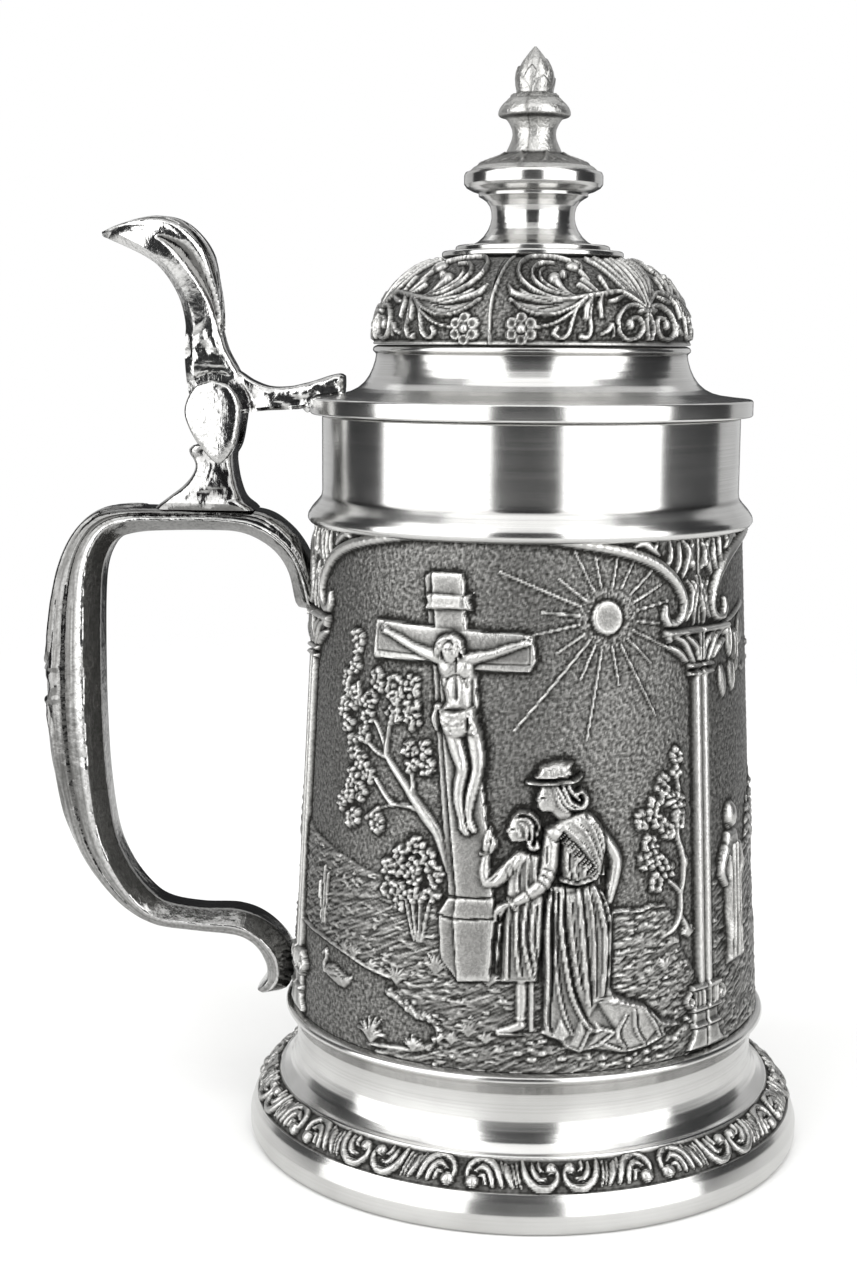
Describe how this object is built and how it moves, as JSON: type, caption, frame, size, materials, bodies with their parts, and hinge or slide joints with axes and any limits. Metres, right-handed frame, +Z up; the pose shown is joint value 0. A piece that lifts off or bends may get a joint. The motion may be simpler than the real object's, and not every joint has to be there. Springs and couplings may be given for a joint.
{
  "type": "lidded tankard",
  "caption": "Lidded drinking tankard with a turned foot and rim, a tapered drum of cast relief panels, a strap handle and a domed lid hinged at the handle and opened by a thumb lift.",
  "frame": {"origin": "on the surface the foot stands on, under the middle of the bounding box; the drum's axis stands 21.7 mm towards +X of it", "axes": "+Z up along the drum's axis, the handle towards -X, +Y across the handle"},
  "size_m": [0.1606, 0.1174, 0.2257],
  "materials": {
    "turned_pewter": "turned and brushed, fine lines round the axis",
    "relief_pewter": "cast relief, darkened in the hollows and rubbed bright on the high places",
    "polished_pewter": "cast and polished bright",
    "hinge_steel": "plain turned steel"
  },
  "bodies": {
    "tankard": {"foot_ring": "turned_pewter", "bottom_plate": "turned_pewter", "relief_panel_front": "relief_pewter", "relief_panel_right": "relief_pewter", "relief_panel_left": "relief_pewter", "rim_collar": "turned_pewter", "handle": "polished_pewter", "hinge_post": "polished_pewter", "hinge_pin": "hinge_steel"},
    "lid": {"thumb_lift": "polished_pewter", "lid_ring": "turned_pewter", "lid_dome_segment_1": "relief_pewter", "lid_dome_segment_2": "relief_pewter", "lid_dome_segment_3": "relief_pewter", "finial_stem": "turned_pewter", "finial_bud": "relief_pewter", "finial_screw": "hinge_steel", "finial_washer": "hinge_steel"}
  },
  "joints": [
    {"name": "lid_hinge", "type": "hinge", "parent": "tankard", "child": "lid", "pos_m": [-0.04353, 0, 0.1528], "axis": [0, -1, 0], "range_deg": [0, 95]}
  ]
}
